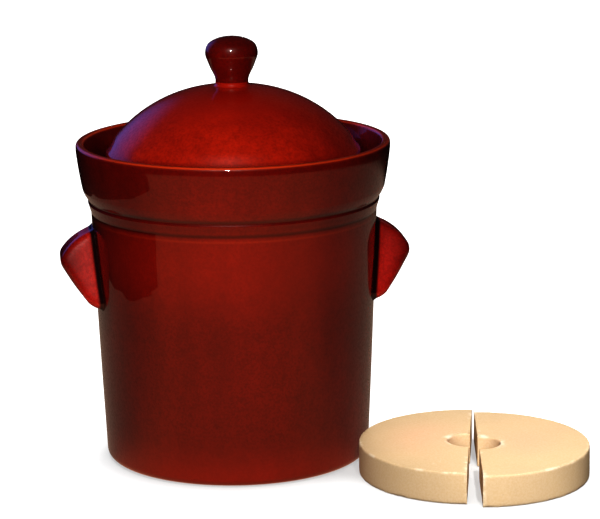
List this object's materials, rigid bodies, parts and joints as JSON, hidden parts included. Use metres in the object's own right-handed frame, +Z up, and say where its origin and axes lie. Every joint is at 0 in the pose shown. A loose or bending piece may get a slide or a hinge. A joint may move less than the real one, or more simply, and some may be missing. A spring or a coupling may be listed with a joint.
{
  "type": "water seal pickle crock",
  "caption": "Glazed stoneware fermentation crock with a water gutter round its mouth, a domed lid standing in it, side handles and half-round weight stones.",
  "frame": {"origin": "middle of the crock's flat base, on the surface that it stands on", "axes": "+Z is up along the crock's axis. The handles lie along X, and -Y is the front, where the picture was taken from, about 5 degrees towards -X. The weight stones lie at +X -Y."},
  "size_m": [0.4674, 0.355, 0.3877],
  "materials": {
    "glaze": "deep red-brown gloss glaze, mottled",
    "bare_stone": "unglazed cream, matte"
  },
  "bodies": {
    "crock": {"crock_pot": "glaze", "neck_ring": "glaze", "left_handle": "glaze", "right_handle": "glaze"},
    "lid": {"lid": "glaze", "lid_knob": "glaze"},
    "left_stone": {"weight_stone_left": "bare_stone"},
    "right_stone": {"weight_stone_right": "bare_stone"}
  },
  "joints": [
    {"name": "lid_lift", "type": "slide", "parent": "crock", "child": "lid", "axis": [0, 0, 1], "range_m": [0, 0.1]},
    {"name": "left_stone_lift", "type": "slide", "parent": "crock", "child": "left_stone", "axis": [0, 0, 1], "range_m": [0, 0.06]},
    {"name": "right_stone_lift", "type": "slide", "parent": "crock", "child": "right_stone", "axis": [0, 0, 1], "range_m": [0, 0.06]}
  ]
}
